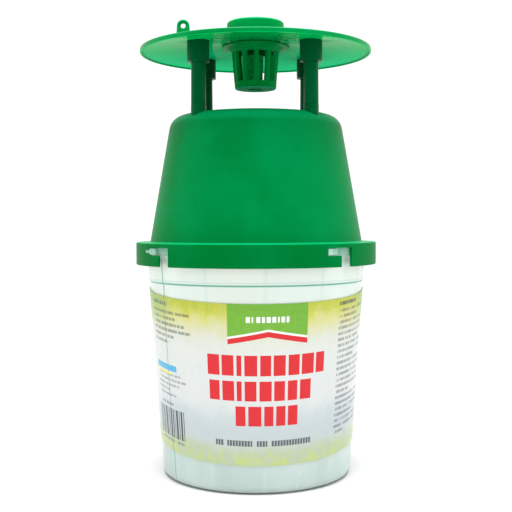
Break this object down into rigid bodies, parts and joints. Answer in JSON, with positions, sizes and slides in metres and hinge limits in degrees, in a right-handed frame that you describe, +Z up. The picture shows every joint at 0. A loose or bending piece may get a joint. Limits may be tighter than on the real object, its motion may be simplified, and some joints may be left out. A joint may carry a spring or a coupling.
{
  "type": "pheromone insect trap",
  "caption": "Pheromone funnel trap: clear collecting bucket, green funnel hat on a bayonet, posts, round rain cover and a slotted lure cage with a press-on cap.",
  "frame": {"origin": "centre of the bucket's base, on the surface that the trap stands on", "axes": "+Z up along the trap's axis, -Y towards the front, where the label's picture is, +X to the right of it"},
  "size_m": [0.1522, 0.1522, 0.2859],
  "materials": {
    "clear_plastic": "smooth, slightly milky translucent polypropylene",
    "label_film": "satin printed film",
    "green_plastic": "smooth satin-gloss moulded polypropylene",
    "deep_green_plastic": "smooth moulded polypropylene, darker where it is thick",
    "lure_rubber": "matt dark green rubber"
  },
  "bodies": {
    "bucket": {"collecting_bucket": "clear_plastic", "bucket_label": "label_film"},
    "hat": {"funnel_hat": "green_plastic", "funnel_cone": "green_plastic", "cover_post_front_left": "deep_green_plastic", "cover_post_front_right": "deep_green_plastic", "cover_post_back_left": "deep_green_plastic", "cover_post_back_right": "deep_green_plastic"},
    "cover": {"rain_cover": "green_plastic"},
    "cap": {"lure_cage_cap": "green_plastic"},
    "cage": {"lure_cage": "deep_green_plastic"},
    "lure": {"pheromone_lure": "lure_rubber"}
  },
  "joints": [
    {"name": "bayonet_twist", "type": "hinge", "parent": "bucket", "child": "hat", "pos_m": [0, 0, 0.1398], "axis": [0, 0, 1], "range_deg": [-8.4, 0]},
    {"name": "cover_lift", "type": "slide", "parent": "hat", "child": "cover", "axis": [0, 0, 1], "range_m": [0, 0.03]},
    {"name": "cap_lift", "type": "slide", "parent": "cover", "child": "cap", "axis": [0, 0, 1], "range_m": [0, 0.02]},
    {"name": "cage_drop", "type": "slide", "parent": "cover", "child": "cage", "axis": [0, 0, -1], "range_m": [0, 0.025]},
    {"name": "lure_lift", "type": "slide", "parent": "cage", "child": "lure", "axis": [0, 0, 1], "range_m": [0, 0.018]}
  ]
}
